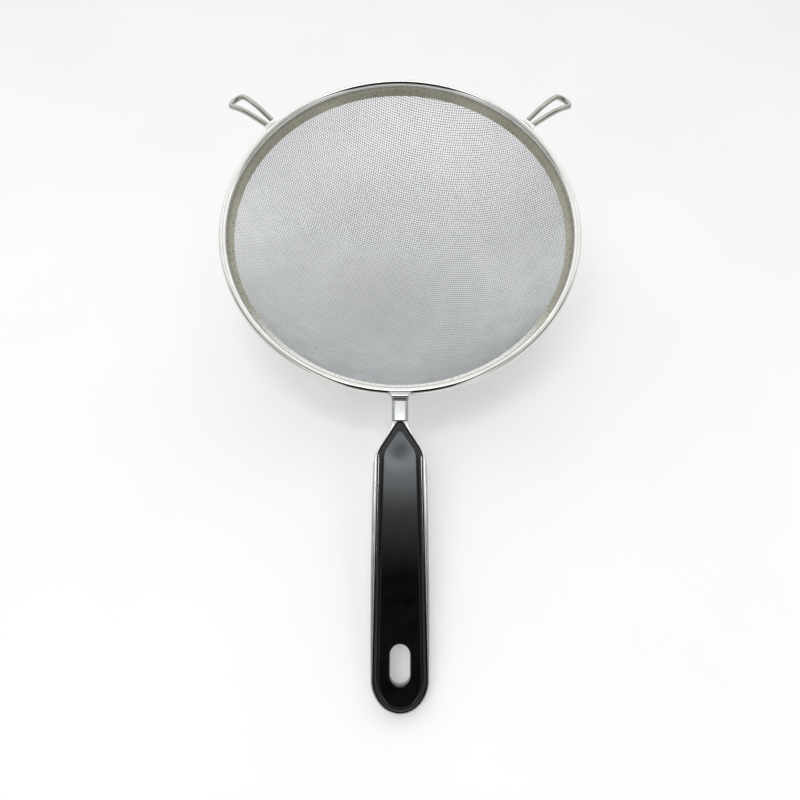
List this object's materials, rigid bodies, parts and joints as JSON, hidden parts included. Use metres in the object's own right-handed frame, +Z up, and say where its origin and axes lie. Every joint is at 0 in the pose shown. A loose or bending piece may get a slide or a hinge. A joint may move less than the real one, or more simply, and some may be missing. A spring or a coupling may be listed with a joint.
{
  "type": "strainer",
  "caption": "Round hand strainer: a draped wire mesh bowl in a rolled steel rim, wire pot-rest loops and a steel handle with a black insert and a hanging slot.",
  "frame": {"origin": "on the table, under the centre of the box of the strainer as it lies on its bowl and its handle's end", "axes": "+Z up, -Y along the handle, +Y towards the rest loops, +X to the right seen from the handle"},
  "size_m": [0.208, 0.3338, 0.0949],
  "materials": {
    "rim_steel": "polished",
    "mesh_steel": "woven wire",
    "wire_steel": "bright drawn",
    "handle_steel": "polished",
    "grip_black": "gloss"
  },
  "bodies": {
    "root": {"rim_band": "rim_steel", "mesh_bowl": "mesh_steel", "clamp_band": "rim_steel", "ear_left": "wire_steel", "ear_right": "wire_steel", "saddle_left": "wire_steel", "saddle_right": "wire_steel", "neck_sleeve": "handle_steel", "handle_shell": "handle_steel", "handle_grip": "grip_black"}
  },
  "joints": []
}
